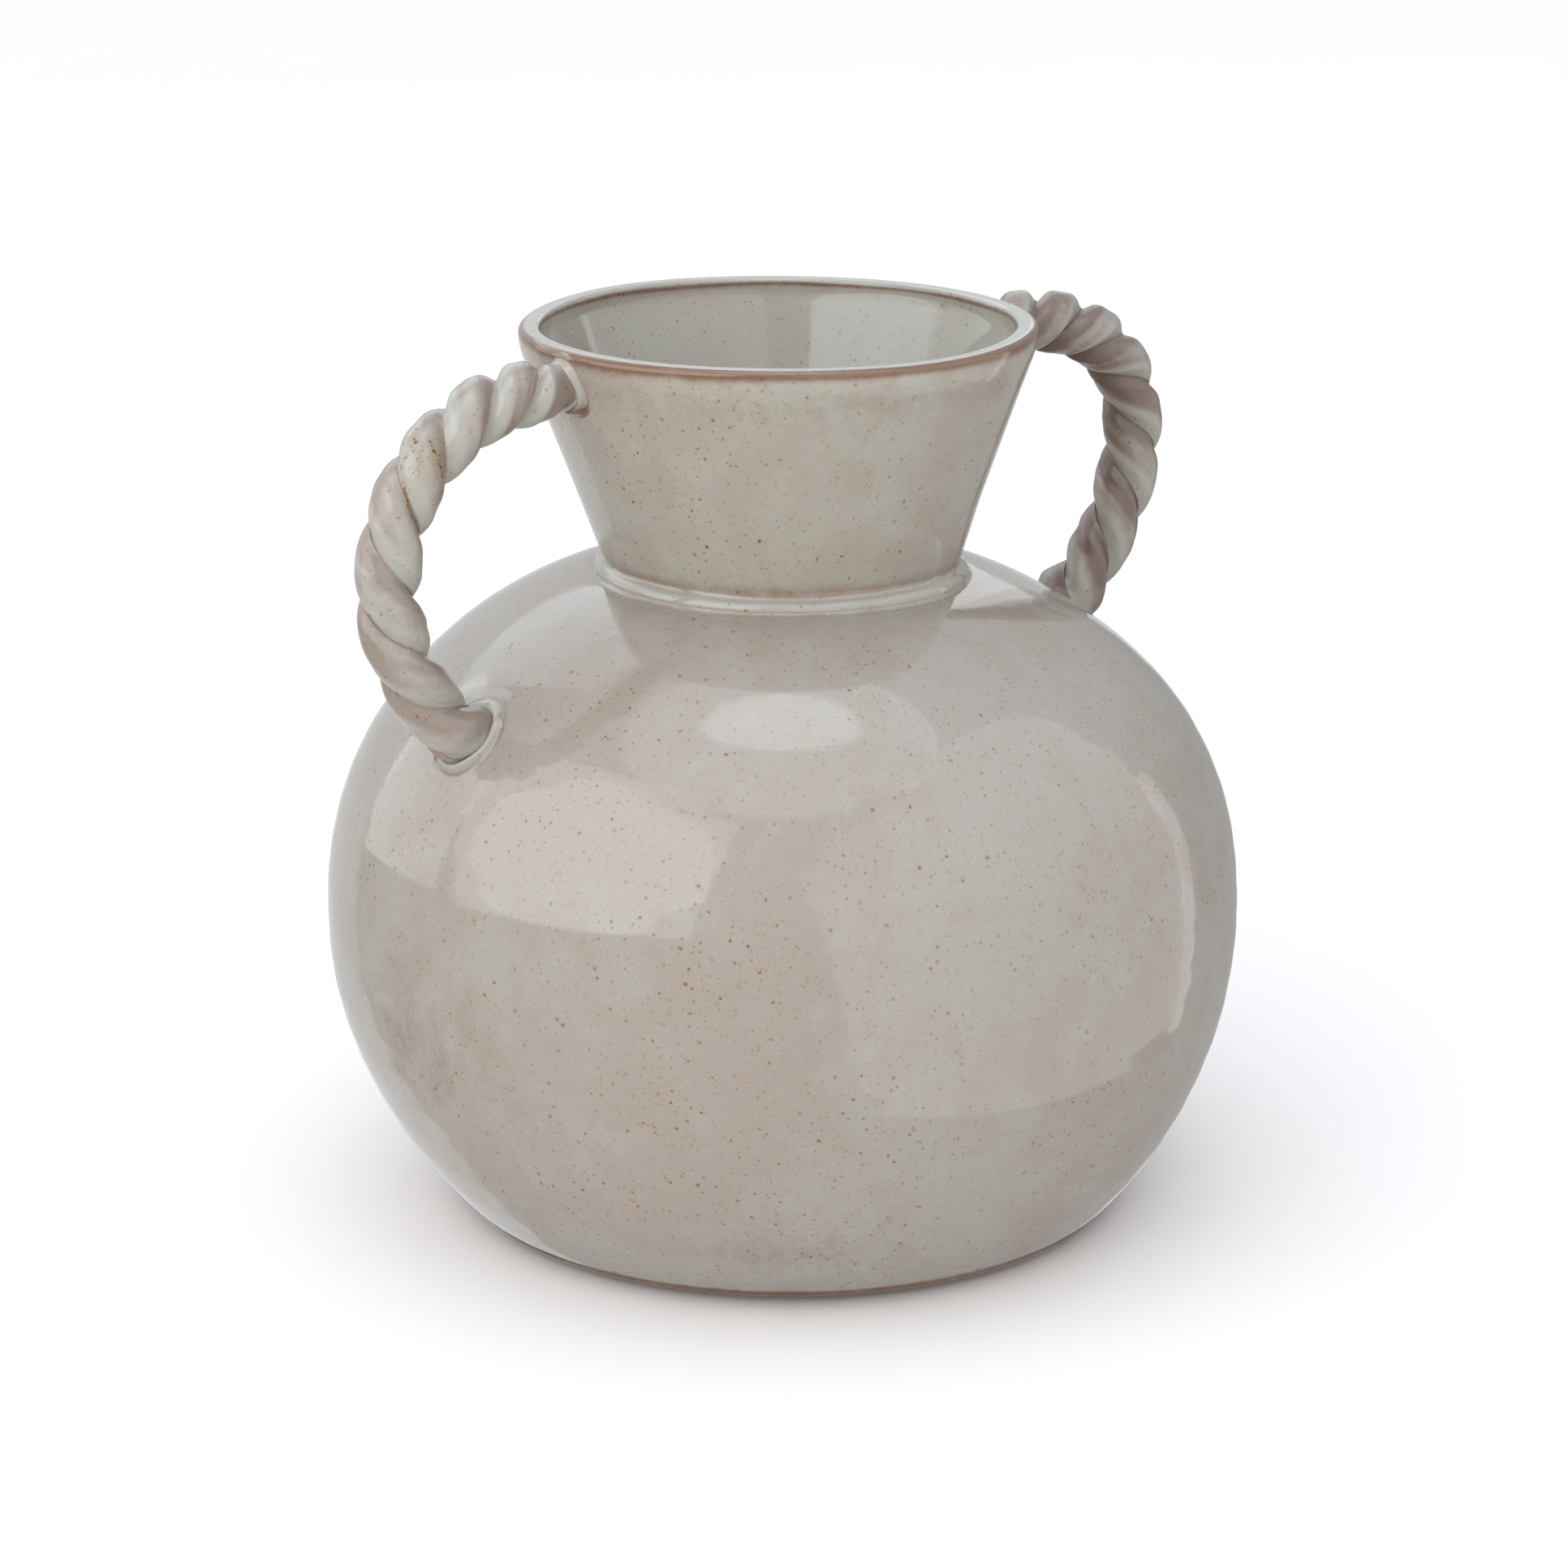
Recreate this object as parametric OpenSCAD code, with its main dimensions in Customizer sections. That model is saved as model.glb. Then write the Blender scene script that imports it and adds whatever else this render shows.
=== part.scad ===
// Round stoneware vase with a flared neck and two twisted rope handles.
// The origin is the centre of the foot on the table, +Z is the throwing axis,
// and the handles lie in the XZ plane: the left one on -X, the right one on +X.

/* [Body] */
// Largest radius of the round body
belly_r = 135; // [125:1:140]
// Height of the widest point above the table
belly_z = 87; // [80:1:95]
// Radius at which the wall turns under towards the table
base_r = 94; // [88:1:100]
// Height of the land on the shoulder that carries the neck
shoulder_z = 189.8; // [186:0.2:194]
// Radius at which the shoulder runs into the neck joint
shoulder_r = 55.4; // [54:0.2:58]
// Thickness of the body wall
body_wall = 7; // [5:0.5:9]
// Thickness of the floor
floor_t = 9; // [7:0.5:12]

/* [Foot] */
// Height of the turned foot ring
foot_h = 3; // [2:0.5:5]
// Outer radius of the foot ring
foot_r = 91; // [86:1:92]
// Width of the foot ring's tread
foot_w = 11; // [8:1:14]

/* [Neck] */
// Outer radius of the rim
rim_r = 74.9; // [73:0.1:77]
// Height at which the outside of the lip is upright
lip_z = 261; // [258:0.5:266]
// Lean of the neck wall from upright, in degrees
neck_lean = 20; // [19:0.5:21]
// Thickness of the neck wall
neck_wall = 6.3; // [5:0.1:7]
// Radius of the bend that brings the neck upright at the lip
lip_bend_r = 20; // [14:1:24]
// Radius of the rounding along the lip's outer edge
lip_edge_r = 2.2; // [1.5:0.1:2.6]
// Radius of the rounding along the lip's inner edge
lip_inner_edge_r = 1.6; // [1:0.1:2]

/* [Neck joint coil] */
// Height of the bead of clay that seals neck to shoulder
coil_h = 4.1; // [3:0.1:5]

/* [Left handle] */
// Height at which the left handle leaves the neck
left_upper_z = 252.4; // [250:0.2:253]
// Height at which the left handle lands on the shoulder
left_lower_z = 157.6; // [155:0.2:162]
// Climb of the left handle as it leaves the neck, in degrees
left_upper_rise = 5.7; // [0:0.1:10]
// Length of the left centre line's control arm at the neck
left_upper_arm = 66.2; // [58:0.2:70]
// Climb of the left handle as it leaves the shoulder, in degrees
left_lower_rise = 36.4; // [30:0.1:42]
// Length of the left centre line's control arm at the shoulder
left_lower_arm = 53.9; // [48:0.1:60]
// Turn of the left handle's strands at its upper end, in degrees
left_phase = 26; // [0:1:180]
// Whole turns of the twist along the left handle
left_turns = 3.76; // [3:0.02:4.2]

/* [Right handle] */
// Height at which the right handle leaves the neck
right_upper_z = 251.9; // [250:0.1:253]
// Height at which the right handle lands on the shoulder
right_lower_z = 162.2; // [158:0.2:166]
// Climb of the right handle as it leaves the neck, in degrees
right_upper_rise = 5.1; // [0:0.1:10]
// Length of the right centre line's control arm at the neck
right_upper_arm = 82; // [70:0.5:86]
// Climb of the right handle as it leaves the shoulder, in degrees
right_lower_rise = 34; // [28:0.5:40]
// Length of the right centre line's control arm at the shoulder
right_lower_arm = 46.4; // [40:0.1:54]
// Turn of the right handle's strands at its upper end, in degrees
right_phase = 45; // [0:1:180]
// Whole turns of the twist along the right handle
right_turns = 3.78; // [3:0.02:4.2]

/* [Rope strands] */
// Outer radius of the twisted pair
rope_r = 9.35; // [8.5:0.05:9.8]
// Half width of one strand across the pair
strand_half_w = 7.3; // [6.5:0.1:7.6]
// Thickness of one strand before it is pressed against its mate
strand_t = 11.4; // [10.5:0.1:12.5]
// Clearance left between the two mating faces
mate_gap = 0.1; // [0.06:0.02:0.2]
// How much tighter the twist is at the neck than on average
twist_ease = 0.2; // [0:0.02:0.3]

/* [Handle joints] */
// Radius of the slip pad under a handle's upper end
upper_pad_r = 10; // [9.4:0.1:11]
// Radius of the slip pad under a handle's lower end
lower_pad_r = 13; // [11.5:0.1:14]
// Thickness of a slip pad, from the wall to the strands
pad_t = 2.4; // [2:0.1:3]
// Rounding around a pad's edge
pad_edge_r = 1.8; // [1:0.1:1.9]

/* [Hidden] */
$fn = 128;

glaze_colour = [0.78, 0.75, 0.71];
pooled_glaze_colour = [0.80, 0.82, 0.78];
bare_clay_colour = [0.66, 0.55, 0.46];

// Fullness of the body outline: higher powers give a squarer shoulder.
shoulder_power = [2.34, 1.42];
base_power = [1.91, 1.20];
outline_steps = 22;
arc_steps = 8;
base_bevel = 1.5;
foot_bevel = 0.8;
floor_inset = 11;
pad_root = 4;

throat_wall = neck_wall / cos(neck_lean);
neck_foot_r = rim_r - lip_bend_r * (1 - cos(neck_lean))
    - (lip_z - lip_bend_r * sin(neck_lean) - shoulder_z) * tan(neck_lean);
throat_r = neck_foot_r - throat_wall;
rim_z = lip_z + lip_edge_r;

// ---- outlines ----

// Radius on a quarter superellipse: r_wide at s = 0, r_end at s = 1.
function swell(s, r_wide, r_end, power) =
    r_end + (r_wide - r_end) * pow(max(0, 1 - pow(s, power[0])), 1 / power[1]);

// Outer radius of the body at a height.
function body_radius(z) =
    z > belly_z
        ? swell((z - belly_z) / (shoulder_z - belly_z), belly_r, shoulder_r, shoulder_power)
        : swell((belly_z - z) / belly_z, belly_r, base_r, base_power);

// Steps that crowd towards 1, where the outline bends most.
function crowded(i) = sin(90 * i / outline_steps);

// Half outline that runs from height z_wide to z_end.
function swell_points(z_wide, z_end, r_wide, r_end, power) = [
    for (i = [0 : outline_steps])
        let (s = crowded(i))
        [swell(s, r_wide, r_end, power), z_wide + (z_end - z_wide) * s]
];

function backwards(points) = [for (i = [len(points) - 1 : -1 : 0]) points[i]];

function arc_points(centre, r, from, to) = [
    for (i = [0 : arc_steps])
        let (a = from + (to - from) * i / arc_steps)
        centre + r * [cos(a), sin(a)]
];

// Body outline from the bevel above the foot up to the shoulder's land.
function body_outer() =
    let (bottom_z = foot_h + base_bevel)
    [for (i = [0 : 2 * outline_steps])
        let (z = i <= outline_steps
            ? belly_z - (belly_z - bottom_z) * crowded(outline_steps - i)
            : belly_z + (shoulder_z - belly_z) * crowded(i - outline_steps))
        [body_radius(z), z]];

function body_inner() =
    let (r = belly_r - body_wall, floor_z = foot_h + floor_t, roof_z = shoulder_z - body_wall)
    concat(
        backwards(swell_points(belly_z, roof_z, r, throat_r, shoulder_power)),
        swell_points(belly_z, floor_z, r, base_r - floor_inset, base_power)
    );

// Everything inside the body's outer surface, used to fit the joints to it.
module body_envelope() {
    rotate_extrude()
        polygon(concat([[0, foot_h]], body_outer(), [[0, shoulder_z]]));
}

module neck_envelope() {
    lip_centre = [rim_r - lip_bend_r, lip_z];
    rotate_extrude()
        polygon(concat(
            [[0, shoulder_z], [neck_foot_r, shoulder_z]],
            arc_points(lip_centre, lip_bend_r, -neck_lean, 0),
            [[rim_r, rim_z + pad_root], [0, rim_z + pad_root]]
        ));
}

// ---- body, foot and neck ----

module body() {
    corner_r = body_radius(foot_h + base_bevel) - base_bevel;
    color(glaze_colour)
        rotate_extrude()
            polygon(concat(
                [[0, foot_h], [corner_r, foot_h]],
                body_outer(),
                [[throat_r, shoulder_z]],
                body_inner(),
                [[0, foot_h + floor_t]]
            ));
}

module foot_ring() {
    inner_r = foot_r - foot_w;
    color(bare_clay_colour)
        rotate_extrude()
            polygon([
                [inner_r, foot_h],
                [inner_r, foot_bevel],
                [inner_r + foot_bevel, 0],
                [foot_r - foot_bevel, 0],
                [foot_r, foot_bevel],
                [foot_r, foot_h]
            ]);
}

// Straight flared wall that bends upright into a rounded lip.
module neck() {
    bend_centre = [rim_r - lip_bend_r, lip_z];
    outer_edge = [rim_r - lip_edge_r, lip_z];
    inner_edge = [rim_r - neck_wall + lip_inner_edge_r, rim_z - lip_inner_edge_r];
    past_upright = 10;
    color(glaze_colour)
        rotate_extrude()
            polygon(concat(
                [[throat_r, shoulder_z], [neck_foot_r, shoulder_z]],
                arc_points(bend_centre, lip_bend_r, -neck_lean, 0),
                arc_points(outer_edge, lip_edge_r, past_upright, 90),
                arc_points(inner_edge, lip_inner_edge_r, 90, 180),
                arc_points(bend_centre, lip_bend_r - neck_wall, 0, -neck_lean)
            ));
}

// Rounded bead in the corner between the neck wall and the shoulder's land.
module neck_joint_coil() {
    corner = [neck_foot_r, shoulder_z];
    along_land = [shoulder_r - neck_foot_r, 0];
    up_neck = coil_h * [tan(neck_lean), 1];
    color(pooled_glaze_colour)
        rotate_extrude()
            polygon(concat(
                [corner],
                [for (i = [0 : arc_steps])
                    let (a = 90 * i / arc_steps)
                    corner + along_land * cos(a) + up_neck * sin(a)]
            ));
}

// ---- handles ----
// A handle is [curve, phase, turns]. Its curve is a cubic Bezier in the handle's plane,
// each point [radius, height], that starts on the neck and ends on the shoulder.

function neck_point(z) = [neck_foot_r + (z - shoulder_z) * tan(neck_lean), z];
function body_point(z) = [body_radius(z), z];
function climb(angle) = [cos(angle), sin(angle)];

left_handle = [
    [
        neck_point(left_upper_z),
        neck_point(left_upper_z) + left_upper_arm * climb(left_upper_rise),
        body_point(left_lower_z) + left_lower_arm * climb(left_lower_rise),
        body_point(left_lower_z)
    ],
    left_phase, left_turns
];
right_handle = [
    [
        neck_point(right_upper_z),
        neck_point(right_upper_z) + right_upper_arm * climb(right_upper_rise),
        body_point(right_lower_z) + right_lower_arm * climb(right_lower_rise),
        body_point(right_lower_z)
    ],
    right_phase, right_turns
];

neck_normal = [cos(neck_lean), -sin(neck_lean)];

// Outward normal of the body's outline at a height.
function body_normal(z) =
    let (dz = 0.5, dr = body_radius(z + dz) - body_radius(z - dz))
    [2 * dz, -dr] / norm([2 * dz, dr]);

// Point on the curve, and its rate of change, at t from 0 to 1.
function curve_point(c, t) =
    pow(1 - t, 3) * c[0] + 3 * pow(1 - t, 2) * t * c[1] + 3 * (1 - t) * t * t * c[2] + t * t * t * c[3];
function curve_rate(c, t) =
    3 * pow(1 - t, 2) * (c[1] - c[0]) + 6 * (1 - t) * t * (c[2] - c[1]) + 3 * t * t * (c[3] - c[2]);

// Directions in the handle's plane: on along the curve, and out across it.
function onward(c, t) = curve_rate(c, t) / norm(curve_rate(c, t));
function outward(c, t) = [-onward(c, t)[1], onward(c, t)[0]];

// Where the curve comes out of the pad's face at its first end, with one correction.
function pad_crossing(c, normal) =
    let (
        first = pad_t / (curve_rate(c, 0) * normal),
        excess = (curve_point(c, first) - c[0]) * normal - pad_t
    )
    first - excess / (curve_rate(c, first) * normal);

// How far a section leans along the handle so that its end lies flat on the pad.
function end_lean(c, t, normal) = -(outward(c, t) * normal) / (onward(c, t) * normal);

// Length run so far at each of a list of points.
function run_lengths(points) = [
    for (i = 0, run = 0;
        i < len(points);
        run = run + (i + 1 < len(points) ? norm(points[i + 1] - points[i]) : 0), i = i + 1)
        run
];

ring_count = 76;
section_steps = 10;
end_ramp = 0.16;
upper_end_scale = 0.74;
lower_end_scale = 0.92;

function ramp(x) = pow(max(0, 1 - x / end_ramp), 2);
function rope_scale(u) = 1 - (1 - upper_end_scale) * ramp(u) - (1 - lower_end_scale) * ramp(1 - u);

// The twist is tighter near the neck; both handles are twisted the same way.
function twist(u, phase, turns) = phase + 360 * turns * (u + twist_ease * u * (1 - u));

// D-shaped section of one strand: a rounded back and a flat mating face on the rope's axis.
function strand_section() =
    let (
        half_t = strand_t / 2,
        offset_c = rope_r - half_t,
        flat = mate_gap / 2,
        reach = acos((flat - offset_c) / half_t)
    )
    concat(
        [for (i = [0 : section_steps])
            let (a = -reach + 2 * reach * i / section_steps)
            [offset_c + half_t * cos(a), strand_half_w * sin(a)]],
        [[flat, 0]]
    );

// One ring of a strand's skin, as points in space.
function strand_ring(curve, t, size, turn, lean, section) =
    let (middle = curve_point(curve, t), out = outward(curve, t), on = onward(curve, t))
    [for (p = section)
        let (
            x = size * (p[0] * cos(turn) - p[1] * sin(turn)),
            y = size * (p[0] * sin(turn) + p[1] * cos(turn)),
            q = middle + out * x + on * x * lean
        )
        [q[0], y, q[1]]];

module strand(handle, start_turn) {
    curve = handle[0];
    shoulder_normal = body_normal(curve[3][1]);
    t_first = pad_crossing(curve, neck_normal);
    t_last = 1 - pad_crossing(backwards(curve), shoulder_normal);
    upper_lean = end_lean(curve, t_first, neck_normal);
    lower_lean = end_lean(curve, t_last, shoulder_normal);
    steps = [for (j = [0 : ring_count]) t_first + (t_last - t_first) * j / ring_count];
    runs = run_lengths([for (t = steps) curve_point(curve, t)]);
    section = strand_section();
    n = len(section);
    points = [
        for (j = [0 : ring_count])
            let (u = runs[j] / runs[ring_count])
            each strand_ring(curve, steps[j], rope_scale(u),
                twist(u, handle[1] + start_turn, handle[2]),
                upper_lean * ramp(u) + lower_lean * ramp(1 - u), section)
    ];
    // The face between the last back point and the axis is split the other way,
    // so that the mating faces of the two strands match.
    skin = [
        for (j = [0 : ring_count - 1], i = [0 : n - 1])
            let (a = j * n + i, b = j * n + (i + 1) % n)
            each i == n - 2
                ? [[a, b, a + n], [b, b + n, a + n]]
                : [[a, b, b + n], [a, b + n, a + n]]
    ];
    caps = [
        [for (i = [n - 1 : -1 : 0]) i],
        [for (i = [0 : n - 1]) ring_count * n + i]
    ];
    color(glaze_colour)
        polyhedron(points = points, faces = concat(skin, caps), convexity = 8);
}

// Round pad of slip on a wall, square to the wall's normal, with a soft edge.
module pad_blank(point, normal, r) {
    translate([point[0], 0, point[1]])
        rotate([0, 90 - atan2(normal[1], normal[0]), 0])
            rotate_extrude()
                polygon(concat(
                    [[0, -pad_root], [r, -pad_root]],
                    arc_points([r - pad_edge_r, pad_t - pad_edge_r], pad_edge_r, 0, 90),
                    [[0, pad_t]]
                ));
}

module upper_joint(handle) {
    color(pooled_glaze_colour)
        difference() {
            pad_blank(handle[0][0], neck_normal, upper_pad_r);
            neck_envelope();
        }
}

module lower_joint(handle) {
    color(pooled_glaze_colour)
        difference() {
            pad_blank(handle[0][3], body_normal(handle[0][3][1]), lower_pad_r);
            body_envelope();
        }
}

// Half a turn about the throwing axis puts a handle on the left.
module on_left() {
    rotate([0, 0, 180])
        children();
}

module left_handle_strand_a() { on_left() strand(left_handle, 0); }
module left_handle_strand_b() { on_left() strand(left_handle, 180); }
module left_handle_upper_joint() { on_left() upper_joint(left_handle); }
module left_handle_lower_joint() { on_left() lower_joint(left_handle); }
module right_handle_strand_a() { strand(right_handle, 0); }
module right_handle_strand_b() { strand(right_handle, 180); }
module right_handle_upper_joint() { upper_joint(right_handle); }
module right_handle_lower_joint() { lower_joint(right_handle); }

body();
foot_ring();
neck();
neck_joint_coil();
left_handle_strand_a();
left_handle_strand_b();
left_handle_upper_joint();
left_handle_lower_joint();
right_handle_strand_a();
right_handle_strand_b();
right_handle_upper_joint();
right_handle_lower_joint();
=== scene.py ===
"""Looks of the stoneware vase: thrown body and neck, twisted rope handles, speckled glaze.

Lengths are in millimetres in the shape functions and become metres when a mesh is made.
The handles lie in the XZ plane: the left one on -X, the right one on +X.
"""

import math

import bpy
import numpy as np
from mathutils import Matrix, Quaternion, Vector


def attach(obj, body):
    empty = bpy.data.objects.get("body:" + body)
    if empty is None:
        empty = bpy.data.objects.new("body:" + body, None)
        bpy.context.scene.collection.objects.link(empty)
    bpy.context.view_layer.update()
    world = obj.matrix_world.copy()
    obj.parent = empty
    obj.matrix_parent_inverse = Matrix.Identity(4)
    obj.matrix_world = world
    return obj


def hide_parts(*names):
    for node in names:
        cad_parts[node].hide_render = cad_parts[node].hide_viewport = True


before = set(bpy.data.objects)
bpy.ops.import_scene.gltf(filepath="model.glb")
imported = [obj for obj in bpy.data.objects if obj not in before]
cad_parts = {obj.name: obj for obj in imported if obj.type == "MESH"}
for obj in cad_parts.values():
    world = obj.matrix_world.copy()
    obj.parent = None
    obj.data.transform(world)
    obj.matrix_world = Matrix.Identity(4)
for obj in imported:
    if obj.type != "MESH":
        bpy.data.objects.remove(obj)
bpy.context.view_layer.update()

MM = 0.001

# ---- sizes, in millimetres, the same as in the CAD source ----

BELLY_R, BELLY_Z = 135.0, 87.0
BASE_R = 94.0
SHOULDER_R, SHOULDER_Z = 55.4, 189.8
SHOULDER_POWER = (2.34, 1.42)
BASE_POWER = (1.91, 1.20)
BODY_WALL, FLOOR_T, FLOOR_INSET = 7.0, 9.0, 11.0
FOOT_H, FOOT_R, FOOT_W = 3.0, 91.0, 11.0
RIM_R, LIP_Z = 74.9, 261.0
NECK_LEAN = math.radians(20)
NECK_WALL = 6.3
LIP_BEND_R = 20.0
LIP_EDGE_R, LIP_INNER_EDGE_R = 2.2, 1.6
COIL_H = 4.1
ROPE_R = 9.35
STRAND_HALF_W, STRAND_T = 7.3, 11.4
TWIST_EASE = 0.2
PAD_T = 2.4

RIM_Z = LIP_Z + LIP_EDGE_R
NECK_FOOT_R = (
    RIM_R
    - LIP_BEND_R * (1 - math.cos(NECK_LEAN))
    - (LIP_Z - LIP_BEND_R * math.sin(NECK_LEAN) - SHOULDER_Z) * math.tan(NECK_LEAN)
)
THROAT_R = NECK_FOOT_R - NECK_WALL / math.cos(NECK_LEAN)
NECK_NORMAL = np.array([math.cos(NECK_LEAN), -math.sin(NECK_LEAN)])

# upper height, lower height, upper climb, upper arm, lower climb, lower arm, phase, turns
LEFT_HANDLE = (252.4, 157.6, 5.7, 66.2, 36.4, 53.9, 26.0, 3.76)
RIGHT_HANDLE = (251.9, 162.2, 5.1, 82.0, 34.0, 46.4, 45.0, 3.78)

# ---- sizes that only the looks have, in millimetres ----

FOOT_EDGE_R, BASE_EDGE_R = 0.9, 1.6
AXIS_R = 0.4  # the small discs that close the body on its axis
# how far the thrown shape strays from true, to the right of the photograph and upwards
FOOT_SHIFT, NECK_SHIFT = 2.4, -1.25
RIGHT_SAG, LEFT_SAG = -1.5, 0.6

# ---- the camera ----

LENS_MM, SENSOR_MM = 100.0, 36.0
VIEW_AZIMUTH = math.radians(37)
VIEW_PITCH = math.radians(16.858)
CAMERA_RADIUS, CAMERA_HEIGHT = 1232.84, 497.71
CAMERA_SIDESTEP = 0.42
VIEW_RIGHT = np.array([math.cos(VIEW_AZIMUTH), -math.sin(VIEW_AZIMUTH), 0.0])
VIEW_IN = np.array([math.sin(VIEW_AZIMUTH), math.cos(VIEW_AZIMUTH), 0.0])


def make_camera():
    data = bpy.data.cameras.new("photo_camera")
    data.lens = LENS_MM
    data.sensor_width = SENSOR_MM
    data.clip_start, data.clip_end = 0.05, 50
    camera = bpy.data.objects.new("photo_camera", data)
    place = -VIEW_IN * CAMERA_RADIUS + VIEW_RIGHT * CAMERA_SIDESTEP
    place[2] = CAMERA_HEIGHT
    camera.location = place * MM
    camera.rotation_euler = (math.pi / 2 - VIEW_PITCH, 0, -VIEW_AZIMUTH)
    bpy.context.collection.objects.link(camera)
    bpy.context.scene.camera = camera


# ---- small tools ----


def smooth(x, low, high):
    """0 below low, 1 above high, an S between."""
    t = np.clip((x - low) / (high - low), 0, 1)
    return t * t * (3 - 2 * t)


def bump(x, middle, width):
    """A bell of height 1."""
    return np.exp(-(((x - middle) / width) ** 2))


def waves(seed, a, b, a_rates, b_rates, count=5):
    """Slow seeded waves over two coordinates, about -1 to 1. a is an angle in radians."""
    rng = np.random.default_rng(seed)
    total = np.zeros(np.broadcast(a, b).shape)
    for _ in range(count):
        turns = int(rng.integers(a_rates[0], a_rates[1] + 1))
        rate = rng.uniform(*b_rates)
        total = total + np.sin(a * turns + b * rate + rng.uniform(0, 2 * math.pi))
    return total / math.sqrt(count)


def hand_made(p):
    """The thrower's hand: base a little to the right, neck to the left, right shoulder low."""
    x, y, z = p[..., 0], p[..., 1], p[..., 2]
    r = np.hypot(x, y)
    near_axis = 1 - smooth(r, 78, 112)
    foot_shift = FOOT_SHIFT * np.clip(1 - z / 72, 0, 1) ** 1.3
    neck_shift = NECK_SHIFT * smooth(z, 150, 262) * near_axis
    facing = (x * VIEW_RIGHT[0] + y * VIEW_RIGHT[1]) / np.maximum(r, 1)
    ring = smooth(r, 30, 58) * (1 - smooth(r, 88, 128))
    shoulder = smooth(z, 130, 160) * (1 - smooth(z, 192, 214))
    sag = RIGHT_SAG * np.clip(facing, 0, 1) ** 2 + LEFT_SAG * np.clip(-facing, 0, 1) ** 2
    out = p + (foot_shift + neck_shift)[..., None] * VIEW_RIGHT
    out[..., 2] += ring * shoulder * sag
    return out


def make_mesh(name, points, faces, attributes, material, nodes, sharp):
    """A smooth shaded piece from points in millimetres, which replaces CAD nodes.

    attributes hold a number for each point; edges sharper than sharp degrees stay crisp."""
    mesh = bpy.data.meshes.new(name)
    points = hand_made(np.asarray(points, float)) * MM
    mesh.vertices.add(len(points))
    mesh.vertices.foreach_set("co", points.ravel())
    sizes = np.array([len(f) for f in faces])
    mesh.loops.add(int(sizes.sum()))
    mesh.polygons.add(len(faces))
    mesh.loops.foreach_set("vertex_index", np.concatenate([np.asarray(f) for f in faces]))
    mesh.polygons.foreach_set("loop_start", np.concatenate([[0], np.cumsum(sizes)[:-1]]))
    mesh.polygons.foreach_set("use_smooth", np.ones(len(faces), bool))
    mesh.update(calc_edges=True)
    mesh.validate()
    for key, values in attributes.items():
        layer = mesh.attributes.new(key, "FLOAT", "POINT")
        layer.data.foreach_set("value", np.asarray(values, np.float32))
    mesh.set_sharp_from_angle(angle=math.radians(sharp))
    piece = bpy.data.objects.new(name, mesh)
    bpy.context.collection.objects.link(piece)
    mesh.materials.append(material)
    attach(piece, "root")
    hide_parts(*nodes)


def grid_faces(rows, columns, closed_rows=False):
    """Quads over a grid of points stored row by row; each row is a closed ring."""
    i = np.arange(rows if closed_rows else rows - 1)
    i, j = np.meshgrid(i, np.arange(columns), indexing="ij")
    i2, j2 = (i + 1) % rows, (j + 1) % columns
    quads = np.stack([i * columns + j, i * columns + j2, i2 * columns + j2, i2 * columns + j], -1)
    return quads.reshape(-1, 4).tolist()


def evenly(outline, step):
    """Points every step along an open outline, its corners kept."""
    outline = np.asarray(outline, float)
    out = [outline[:1]]
    for a, b in zip(outline[:-1], outline[1:]):
        n = max(1, int(round(np.linalg.norm(b - a) / step)))
        t = np.arange(1, n + 1)[:, None] / n
        out.append(a + (b - a) * t)
    return np.concatenate(out)


def arc(centre, r, start, end, count):
    """Points of an arc between two angles in degrees."""
    a = np.radians(np.linspace(start, end, count))
    return np.stack([centre[0] + r * np.cos(a), centre[1] + r * np.sin(a)], 1)


def lathe(outline, around, relief):
    """An outline of (r, z) swept round the axis and moved by relief(theta, r, z).

    Gives the points, row by row, and the angle, radius and height grids they came from."""
    theta = np.linspace(0, 2 * math.pi, around, endpoint=False)
    r, t = np.meshgrid(outline[:, 0], theta, indexing="ij")
    z = np.meshgrid(outline[:, 1], theta, indexing="ij")[0]
    dr, dz = relief(t, r, z)
    r, z = r + dr, z + dz
    return np.stack([r * np.cos(t), r * np.sin(t), z], -1).reshape(-1, 3), t, r, z


# ---- body, foot and neck ----


def swell(s, r_wide, r_end, power):
    """Radius along a superellipse quarter, from s = 0 at its widest to s = 1 at its end."""
    return r_end + (r_wide - r_end) * np.clip(1 - s ** power[0], 0, None) ** (1 / power[1])


def body_radius(z):
    """Outside radius of the body at a height."""
    z = np.asarray(z, float)
    up = swell(np.clip((z - BELLY_Z) / (SHOULDER_Z - BELLY_Z), 0, 1), BELLY_R, SHOULDER_R, SHOULDER_POWER)
    down = swell(np.clip((BELLY_Z - z) / BELLY_Z, 0, 1), BELLY_R, BASE_R, BASE_POWER)
    return np.where(z > BELLY_Z, up, down)


def body_radius_height(r):
    """Height at which the shoulder has a radius."""
    z = np.linspace(BELLY_Z, SHOULDER_Z, 4000)
    return np.interp(-np.asarray(r, float), -body_radius(z), z)


def crowded(count):
    """Numbers from 0 to 1 that lie closer together towards 1."""
    return np.sin(np.linspace(0, math.pi / 2, count))


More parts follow.
